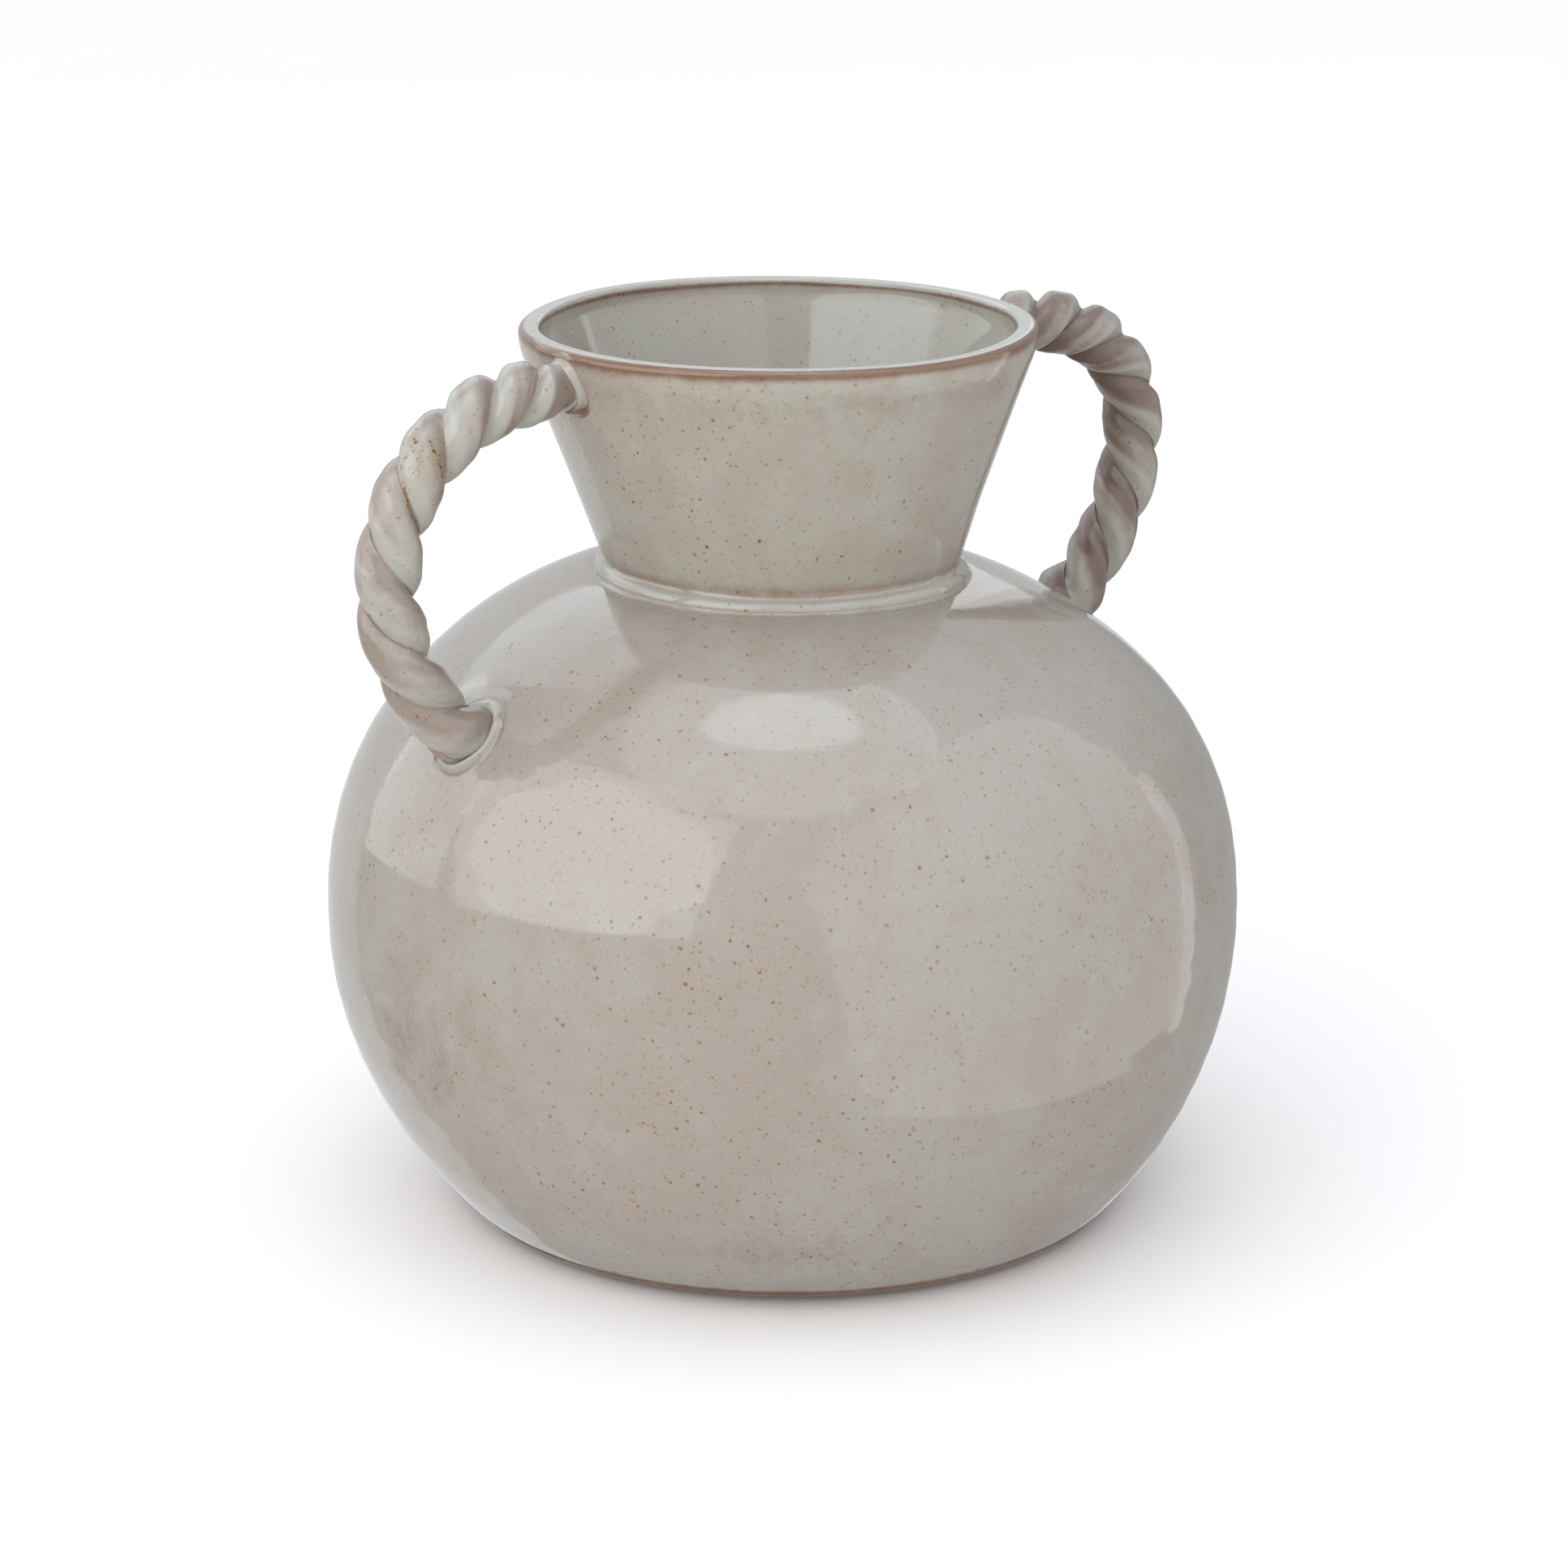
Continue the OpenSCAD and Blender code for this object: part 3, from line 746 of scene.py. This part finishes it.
def lower_heights(side):
    """A low ridge of slip round the handle's foot, with the tail of a coil at its lower edge."""
    def heights(rho, phi):
        wobble = 0.3 * waves(61 + side, phi, 0 * phi, (1, 3), (0, 0.01))
        middle = 10.0 + wobble
        ridge = 1.85 * (1 + 0.16 * waves(62 + side, phi, 0 * phi, (1, 4), (0, 0.01)))
        ridge = ridge * (0.55 + 0.45 * smooth(np.cos(phi - math.radians(140)), -0.9, 0.3))
        outer = np.clip(rho - middle, 0, None)
        inner = np.clip(middle - rho, 0, None)
        h = ridge * np.exp(-(outer / 1.45) ** 2) * (0.7 + 0.3 * np.exp(-(inner / 0.8) ** 2))
        along = rho * np.cos(phi - PEG_AT) - 10.4
        across = rho * np.sin(phi - PEG_AT)
        peg = 2.6 * np.exp(-(along / 2.3) ** 2 - (across / 2.0) ** 2)
        h = np.maximum(h, peg) + 0.25 * np.minimum(h, peg)
        swell_out = 0.35 * np.exp(-((rho - 11) / 4.0) ** 2)
        h = (h + swell_out) * (1 - smooth(rho, 13.5, 17.2)) - 0.03 * smooth(rho, 14, 17.2)
        on_peg = np.exp(-(along / 1.8) ** 2 - (across / 1.5) ** 2)
        # painted highlight: the pale tip of the coil's tail
        tip_highlight = bump(along, 2.4, 1.2) * bump(across, -1.4, 1.6)
        pool_and_light = 0.95 * bump(rho, middle, 1.1) * (1 - on_peg) + 0.9 * tip_highlight
        pool_and_light = pool_and_light + 0.5 * bump(along, 4.6, 2.0) * bump(across, 0, 3.0)
        # brown in the groove between the handle and the ridge, and just outside the ridge, is painted shade;
        # the coil's tail is brown
        thin_and_shade = 0.9 * bump(rho, middle - 1.3, 0.6) + 0.75 * on_peg + 0.5 * bump(rho, middle + 2.3, 1.0)
        return h, np.clip(pool_and_light, 0, 1), np.clip(thin_and_shade * (1 - 0.8 * tip_highlight), 0, 1)

    return heights


def make_handle(sizes, side, word, materials):
    """One handle: two strands twisted together, and a collar of slip at each end."""
    handle = Handle(sizes, side)
    for letter, start, seed in (("a", 0, 71), ("b", 180, 81)):
        make_strand(handle, start, f"{word}_handle_coil_{letter}", f"{word}_handle_strand_{letter}",
                    materials[word], seed + side)
    make_collar(handle, handle.curve[0], NECK_NORMAL, neck_radius, lambda t, r, z: neck_relief(t, z),
                upper_heights(side), UPPER_REACH,
                f"{word}_handle_upper_collar", f"{word}_handle_upper_joint", materials["neck_slip"])
    make_collar(handle, handle.curve[3], handle.body_normal, body_radius, body_relief,
                lower_heights(side), LOWER_REACH,
                f"{word}_handle_lower_collar", f"{word}_handle_lower_joint", materials["body_slip"])


# ---- materials ----


class Nodes:
    """A short way to write a node tree."""

    def __init__(self, name):
        self.material = bpy.data.materials.new(name)
        self.material.use_nodes = True
        self.tree = self.material.node_tree
        self.tree.nodes.clear()

    def add(self, kind, **settings):
        node = self.tree.nodes.new(kind)
        for key, value in settings.items():
            setattr(node, key, value)
        return node

    def link(self, a, b):
        if isinstance(a, bpy.types.NodeSocket):
            self.tree.links.new(a, b)
        else:
            b.default_value = a

    def math(self, operation, a, b, c=0.0):
        node = self.add("ShaderNodeMath", operation=operation)
        self.link(a, node.inputs[0])
        self.link(b, node.inputs[1])
        if operation == "MULTIPLY_ADD":
            self.link(c, node.inputs[2])
        return node.outputs[0]

    def mix(self, factor, a, b, blend="MIX"):
        node = self.add("ShaderNodeMix", data_type="RGBA", blend_type=blend, clamp_factor=True)
        self.link(factor, node.inputs["Factor"])
        self.link(a, node.inputs["A"])
        self.link(b, node.inputs["B"])
        return node.outputs["Result"]

    def remap(self, value, low, high, to_low=0.0, to_high=1.0, smooth_step=True):
        node = self.add("ShaderNodeMapRange", interpolation_type="SMOOTHSTEP" if smooth_step else "LINEAR")
        self.link(value, node.inputs["Value"])
        node.inputs["From Min"].default_value = low
        node.inputs["From Max"].default_value = high
        node.inputs["To Min"].default_value = to_low
        node.inputs["To Max"].default_value = to_high
        return node.outputs["Result"]

    def place(self):
        return self.add("ShaderNodeTexCoord").outputs["Object"]

    def shifted(self, vector, offset):
        node = self.add("ShaderNodeMapping")
        self.link(vector, node.inputs["Vector"])
        node.inputs["Location"].default_value = offset
        return node.outputs["Vector"]

    def noise(self, vector, scale, detail=2.0, roughness=0.5, distortion=0.0):
        node = self.add("ShaderNodeTexNoise")
        self.link(vector, node.inputs["Vector"])
        node.inputs["Scale"].default_value = scale
        node.inputs["Detail"].default_value = detail
        node.inputs["Roughness"].default_value = roughness
        node.inputs["Distortion"].default_value = distortion
        return node.outputs["Fac"]

    def cells(self, vector, scale):
        node = self.add("ShaderNodeTexVoronoi", feature="F1")
        self.link(vector, node.inputs["Vector"])
        node.inputs["Scale"].default_value = scale
        return node.outputs["Distance"], node.outputs["Color"]

    def attribute(self, name):
        return self.add("ShaderNodeAttribute", attribute_name=name).outputs["Fac"]

    def bumpy(self, shader, height, strength, distance):
        """Fine relief: height times distance, in metres."""
        relief = self.add("ShaderNodeBump")
        relief.inputs["Strength"].default_value = strength
        relief.inputs["Distance"].default_value = distance
        self.link(height, relief.inputs["Height"])
        self.link(relief.outputs["Normal"], shader.inputs["Normal"])

    def finished(self, shader):
        """The material, with the shader as its surface."""
        out = self.add("ShaderNodeOutputMaterial")
        self.link(shader.outputs[0], out.inputs["Surface"])
        return self.material


GLAZE_DEPTH = 0.60  # how much darker a colour is than it looks in this studio's light


def linear(r, g, b):
    """sRGB bytes, as the clay or glaze looks in the studio light, to the linear colour it needs."""
    def one(c):
        c /= 255
        return GLAZE_DEPTH * (c / 12.92 if c <= 0.04045 else ((c + 0.055) / 1.055) ** 2.4)

    return (one(r), one(g), one(b), 1.0)


def spots(n, vector, spacing, size, share, seed):
    """Round spots of varied size: their core, their soft halo, and a random number for each."""
    moved = n.shifted(vector, (seed * 0.37, seed * 0.73, seed * 0.19))
    distance, colour = n.cells(moved, 1 / spacing)
    split = n.add("ShaderNodeSeparateColor")
    n.link(colour, split.inputs[0])
    chance, other = split.outputs[0], split.outputs[1]
    present = n.math("GREATER_THAN", chance, 1 - share)
    radius = n.remap(other, 0, 1, 0.45 * size / spacing, 1.25 * size / spacing, False)
    ratio = n.math("DIVIDE", distance, radius)
    core = n.math("MULTIPLY", n.remap(ratio, 0.45, 0.95, 1, 0), present)
    halo = n.math("MULTIPLY", n.remap(ratio, 0.5, 2.2, 1, 0), present)
    return core, halo, other


# iron specks: spacing and size in metres, share of places used, strength, seed
SPECKS = (
    (0.0011, 0.00018, 0.80, 0.30, 1),
    (0.0016, 0.00027, 0.80, 0.48, 2),
    (0.0023, 0.00035, 0.85, 0.72, 3),
    (0.0033, 0.00043, 0.85, 0.90, 4),
    (0.0062, 0.00052, 0.80, 0.95, 5),
)


def speckled(n, at, colour, looks):
    """Iron specks over a colour. Gives the new colour and the cores of the largest specks."""
    patch = n.noise(n.shifted(at, (5, 2, 8)), 26, 2, 0.5)
    crowd = n.math("MULTIPLY", n.remap(patch, 0.34, 0.62, 0.5, 1.0), looks["freckle"])
    for spacing, size, share, strength, seed in SPECKS:
        core, halo, shade = spots(n, at, spacing, size, share, seed)
        ink = n.mix(shade, looks["speck"], looks["speck_dark"])
        colour = n.mix(n.math("MULTIPLY", n.math("MULTIPLY", halo, crowd), 0.85 * strength), colour,
                       looks["speck_soft"], "MULTIPLY")
        colour = n.mix(n.math("MULTIPLY", n.math("MULTIPLY", core, crowd), strength), colour, ink)
    return colour, core


def iron_bled(n, at, colour, looks):
    """Iron bled through the glaze: a wash, a stain and a dark core. Gives the colour and the core."""
    zone = n.attribute("iron_zone")
    fleck = n.noise(n.shifted(at, (4, 4, 1)), 1300, 2, 0.6)
    dot = spots(n, at, 0.00115, 0.00042, 0.8, 9)[0]
    iron = n.math("MAXIMUM", n.attribute("iron"), n.math("MULTIPLY", n.math("MULTIPLY", dot, zone), 0.9))
    broken = n.math("MULTIPLY_ADD", n.math("SUBTRACT", fleck, 0.5), 1.1, iron)
    stain = n.math("MULTIPLY", n.remap(broken, 0.25, 0.85), n.remap(iron, 0.06, 0.3))
    wash = n.math("MULTIPLY", zone, n.remap(fleck, 0.42, 0.66, 0, 0.5))
    stain = n.math("MAXIMUM", n.math("MULTIPLY", stain, 0.8), wash)
    core = n.math("MULTIPLY", n.remap(broken, 0.55, 0.85), n.remap(iron, 0.25, 0.6))
    return n.mix(core, n.mix(stain, colour, looks["iron_halo"]), looks["iron_core"]), core


def glaze(name, looks):
    """Speckled stoneware glaze over iron-bearing clay.

    The mesh says where it is pale and greenish, from pooled glaze and painted light, and where it is brown,
    from glaze that ran thinly and painted shade."""
    n = Nodes(name)
    at = n.place()
    big = n.noise(at, 17, 3, 0.5, 0.6)
    middle = n.noise(n.shifted(at, (3, 1, 7)), 70, 3, 0.55, 0.4)
    grain = n.noise(at, 1700, 3, 0.7)
    mottle = n.noise(n.shifted(at, (1, 9, 4)), 330, 3, 0.6)

    tone = n.math("ADD", n.math("MULTIPLY", big, 0.55), n.math("MULTIPLY", middle, 0.45))
    colour = n.mix(n.remap(tone, 0.40, 0.60), looks["cool"], looks["warm"])
    colour = n.mix(n.remap(mottle, 0.35, 0.72, 0, 0.34), colour, looks["pink"])
    colour = n.mix(n.remap(grain, 0.38, 0.66, 0, 0.32), colour, looks["pale"])

    ragged = n.math("MULTIPLY_ADD", n.math("SUBTRACT", middle, 0.5), 0.9,
                    n.math("MULTIPLY", n.math("SUBTRACT", mottle, 0.5), 0.7))
    ragged = n.math("MULTIPLY", ragged, looks["rag"])
    # brown marks are glaze that ran thinly and painted shade; pale marks are pooled glaze and painted light
    for zone in ("thin_and_shade", "pool_and_light"):
        share = n.remap(n.math("ADD", n.attribute(zone), ragged), *looks["bands"])
        colour = n.mix(n.math("MULTIPLY", share, looks[f"{zone}_amount"]), colour, looks[zone])

    colour, core = speckled(n, at, colour, looks)
    if looks["iron"]:
        colour, core = iron_bled(n, at, colour, looks)

    shader = n.add("ShaderNodeBsdfPrincipled")
    rough = looks["rough"]
    n.link(colour, shader.inputs["Base Color"])
    n.link(n.remap(middle, 0.3, 0.7, rough - 0.03, rough + 0.04), shader.inputs["Roughness"])
    shader.inputs["IOR"].default_value = 1.5
    peel = n.noise(n.shifted(at, (2, 2, 2)), 420, 2, 0.5)
    height = n.math("ADD", n.math("MULTIPLY", peel, 0.6), n.math("MULTIPLY", core, -0.4))
    n.bumpy(shader, height, 0.25, 0.0001)
    return n.finished(shader)


BODY_LOOKS = {
    "cool": linear(196, 192, 183),
    "warm": linear(192, 180, 168),
    "pink": linear(198, 180, 168),
    "pale": linear(206, 202, 192),
    # the pale colour below is for pooled glaze and painted light, the brown one for glaze that ran thinly
    # and painted shade
    "pool_and_light": linear(206, 210, 200),
    "pool_and_light_amount": 0.8,
    "thin_and_shade": linear(128, 92, 68),
    "thin_and_shade_amount": 0.9,
    "rag": 0.5,
    "bands": (0.18, 0.9),
    "speck": linear(178, 136, 56),
    "speck_dark": linear(112, 76, 22),
    "speck_soft": (0.94, 0.80, 0.50, 1),
    "iron_halo": linear(176, 140, 44),
    "iron_core": linear(80, 46, 14),
    "iron": False,
    "freckle": 1.0,
    "rough": 0.075,
}

NECK_TONE = {
    "cool": linear(203, 201, 188),
    "warm": linear(198, 187, 173),
    "pink": linear(202, 188, 174),
    "thin_and_shade": linear(134, 88, 50),
    "thin_and_shade_amount": 0.85,
    "bands": (0.05, 1.0),
}

LEFT_TONE = {
    "cool": linear(207, 204, 195),
    "warm": linear(200, 191, 181),
    "pink": linear(190, 176, 166),
    "pool_and_light": linear(208, 210, 199),
    "pool_and_light_amount": 0.65,
    "thin_and_shade": linear(152, 126, 108),
    "thin_and_shade_amount": 0.58,
    "bands": (0.0, 1.0),
    "iron": True,
    "freckle": 0.7,
    "rough": 0.2,
}

# painted shade: the right handle's glaze is darker and browner than the left's, standing in for the shadow
# the neck casts on it
RIGHT_SHADED_TONE = {
    "cool": linear(186, 180, 170),
    "warm": linear(174, 158, 145),
    "pink": linear(160, 140, 127),
    "pool_and_light": linear(200, 200, 189),
    "pool_and_light_amount": 0.75,
    "thin_and_shade": linear(122, 96, 82),
    "thin_and_shade_amount": 0.85,
    "bands": (0.0, 1.0),
    "rag": 0.6,
    "freckle": 0.8,
    "rough": 0.3,
}


def bare_clay():
    """Unglazed, toasted stoneware."""
    n = Nodes("bare_clay")
    at = n.place()
    grain = n.noise(at, 900, 4, 0.65)
    cloud = n.noise(at, 60, 2)
    colour = n.mix(n.remap(cloud, 0.35, 0.65), linear(150, 120, 94), linear(128, 98, 74))
    colour = n.mix(n.remap(grain, 0.5, 0.75, 0, 0.7), colour, linear(92, 68, 50))
    shader = n.add("ShaderNodeBsdfPrincipled")
    n.link(colour, shader.inputs["Base Color"])
    n.link(n.remap(grain, 0.3, 0.7, 0.72, 0.9), shader.inputs["Roughness"])
    n.bumpy(shader, grain, 0.6, 0.0002)
    return n.finished(shader)


def make_materials():
    return {
        "body": glaze("glaze_body", BODY_LOOKS),
        "neck": glaze("glaze_neck", {**BODY_LOOKS, **NECK_TONE}),
        "left": glaze("glaze_handle_left", {**BODY_LOOKS, **LEFT_TONE}),
        # the right handle's darker glaze is painted shade
        "right": glaze("glaze_handle_right_shaded", {**BODY_LOOKS, **RIGHT_SHADED_TONE}),
        "neck_slip": glaze("glaze_slip_neck", {**BODY_LOOKS, **NECK_TONE}),
        "body_slip": glaze("glaze_slip_body", BODY_LOOKS),
        "clay": bare_clay(),
    }


# ---- floor and lights ----


def make_floor():
    """A sheet of pale paper, which reflections don't see."""
    mesh = bpy.data.meshes.new("studio_floor")
    half = 8.0
    corners = [(-half, -half, 0), (half, -half, 0), (half, half, 0), (-half, half, 0)]
    mesh.from_pydata(corners, [], [(0, 1, 2, 3)])
    floor = bpy.data.objects.new("studio_floor", mesh)
    bpy.context.collection.objects.link(floor)
    n = Nodes("floor_paper")
    shader = n.add("ShaderNodeBsdfPrincipled")
    cloud = n.noise(n.place(), 3, 2)
    n.link(n.mix(cloud, (0.94, 0.92, 0.91, 1), (0.96, 0.94, 0.93, 1)), shader.inputs["Base Color"])
    shader.inputs["Roughness"].default_value = 0.9
    shader.inputs["Specular IOR Level"].default_value = 0.1
    mesh.materials.append(n.finished(shader))
    floor.visible_glossy = False


def make_backdrop():
    """A pale paper wall far behind the floor, which only the camera sees."""
    around, far, high = 64, 7.9, 6.0
    turn = np.linspace(0, 2 * math.pi, around, endpoint=False)
    ring = np.stack([far * np.cos(turn), far * np.sin(turn)], 1)
    points = [(x, y, z) for z in (-0.01, high) for x, y in ring]
    mesh = bpy.data.meshes.new("studio_backdrop")
    mesh.from_pydata(points, [], [f[::-1] for f in grid_faces(2, around)])
    wall = bpy.data.objects.new("studio_backdrop", mesh)
    bpy.context.collection.objects.link(wall)
    n = Nodes("backdrop_paper")
    shader = n.add("ShaderNodeBsdfPrincipled")
    cloud = n.noise(n.place(), 0.7, 2)
    n.link(n.mix(cloud, (0.90, 0.90, 0.90, 1), (0.93, 0.93, 0.93, 1)), shader.inputs["Base Color"])
    shader.inputs["Roughness"].default_value = 0.9
    shader.inputs["Emission Color"].default_value = (1, 1, 1, 1)
    shader.inputs["Emission Strength"].default_value = 0.4
    mesh.materials.append(n.finished(shader))
    for ray in ("glossy", "diffuse", "transmission", "shadow"):
        setattr(wall, f"visible_{ray}", False)


STUDIO_MIDDLE = np.array([0, 0, 0.12])


def panel(name, azimuth, elevation, distance, width, height, radiance, seen, roll=0.0,
          shape="RECTANGLE", tint=(1, 1, 1)):
    """A soft box, placed by direction from the vase: azimuth 0 is towards the camera.

    seen says which rays find it: "gloss" for reflections, "skin" for diffuse light."""
    a, e = math.radians(azimuth), math.radians(elevation)
    toward = -VIEW_IN * math.cos(a) + VIEW_RIGHT * math.sin(a)
    aim = np.array([toward[0] * math.cos(e), toward[1] * math.cos(e), math.sin(e)])
    light = bpy.data.lights.new(name, "AREA")
    light.shape = shape
    light.size, light.size_y = width, height
    light.color = tint
    area = width * height * (math.pi / 4 if shape == "ELLIPSE" else 1)
    light.energy = radiance * math.pi * area
    lamp = bpy.data.objects.new(name, light)
    lamp.location = STUDIO_MIDDLE + aim * distance
    lamp.rotation_mode = "QUATERNION"
    turn = Vector(aim).to_track_quat("Z", "Y")
    lamp.rotation_quaternion = turn @ Quaternion((0, 0, 1), math.radians(roll))
    lamp.visible_diffuse = seen == "skin"
    lamp.visible_glossy = seen == "gloss"
    lamp.visible_camera = False
    bpy.context.collection.objects.link(lamp)


# height of a direction, from -1 straight down to 1 straight up, and the studio's colour there
STUDIO_RING = (
    (-1.0, (0.50, 0.50, 0.50)),
    (-0.3, (0.42, 0.42, 0.42)),
    (0.0, (0.38, 0.38, 0.38)),
    (0.2, (0.55, 0.55, 0.56)),
    (0.56, (0.98, 1.00, 1.03)),
    (0.88, (1.20, 1.26, 1.36)),
)


def make_world():
    """A pale studio: bright above, dimmer towards the horizon."""
    world = bpy.data.worlds.new("studio")
    bpy.context.scene.world = world
    world.use_nodes = True
    tree = world.node_tree
    tree.nodes.clear()
    direction = tree.nodes.new("ShaderNodeTexCoord").outputs["Generated"]
    split = tree.nodes.new("ShaderNodeSeparateXYZ")
    tree.links.new(direction, split.inputs[0])
    share = tree.nodes.new("ShaderNodeMath")
    share.operation = "MULTIPLY_ADD"
    tree.links.new(split.outputs["Z"], share.inputs[0])
    share.inputs[1].default_value = 0.5
    share.inputs[2].default_value = 0.5
    ring = tree.nodes.new("ShaderNodeValToRGB")
    tree.links.new(share.outputs[0], ring.inputs[0])
    stops = ring.color_ramp.elements
    while len(stops) < len(STUDIO_RING):
        stops.new(0.5)
    for stop, (height, colour) in zip(stops, STUDIO_RING):
        stop.position = height / 2 + 0.5
        stop.color = (*colour, 1)
    back = tree.nodes.new("ShaderNodeBackground")
    tree.links.new(ring.outputs[0], back.inputs["Color"])
    out = tree.nodes.new("ShaderNodeOutputWorld")
    tree.links.new(back.outputs[0], out.inputs["Surface"])


def make_lights():
    """The studio's windows, as reflections show them, and two soft boxes for the diffuse light."""
    make_world()
    cool = (0.88, 0.95, 1.0)
    warm = (1.0, 0.975, 0.94)
    # azimuth, elevation, distance, width, height, radiance, the rays that see it, roll
    panel("window_left", -59, 31, 1.9, 2.55, 1.65, 1.5, "gloss", 12.0, tint=cool)
    panel("window_left_core", -55, 29, 1.85, 2.3, 1.55, 1.35, "gloss", 14.0, "ELLIPSE", cool)
    panel("window_left_wing", -114, 17, 1.9, 1.25, 1.2, 1.1, "gloss", 12.0)
    panel("window_back_left", -156, 42, 2.2, 1.7, 1.5, 0.9, "gloss", tint=cool)
    panel("wall_back_left", -162, 0, 2.3, 2.9, 5.0, 0.38, "gloss", tint=cool)
    panel("window_right", 64, 9, 2.2, 5.7, 5.2, 0.8, "gloss", 8.0, tint=warm)
    panel("strip_right", 117, -4, 2.0, 0.2, 1.7, 1.1, "gloss")
    panel("window_back", 168, 22, 2.2, 0.4, 0.8, 0.7, "gloss")
    panel("overhead_wide", 0, 80, 1.7, 2.0, 1.6, 1.25, "gloss", 0, "ELLIPSE", cool)
    panel("overhead", 0, 84, 1.65, 0.85, 0.6, 2.1, "gloss", 0, "ELLIPSE", cool)
    panel("key_left", -56, 38, 2.2, 1.8, 1.4, 0.9, "skin")
    panel("fill_front", -12, 16, 2.4, 2.2, 1.6, 2.05, "skin", tint=warm)
    bpy.context.scene.view_settings.view_transform = "Standard"


# ---- the whole scene ----

make_camera()
materials = make_materials()
make_body(materials["body"])
make_foot(materials["clay"])
make_neck(materials["neck"])
make_neck_coil(materials["neck_slip"])
make_handle(LEFT_HANDLE, -1, "left", materials)
make_handle(RIGHT_HANDLE, 1, "right", materials)
make_floor()
make_backdrop()
make_lights()
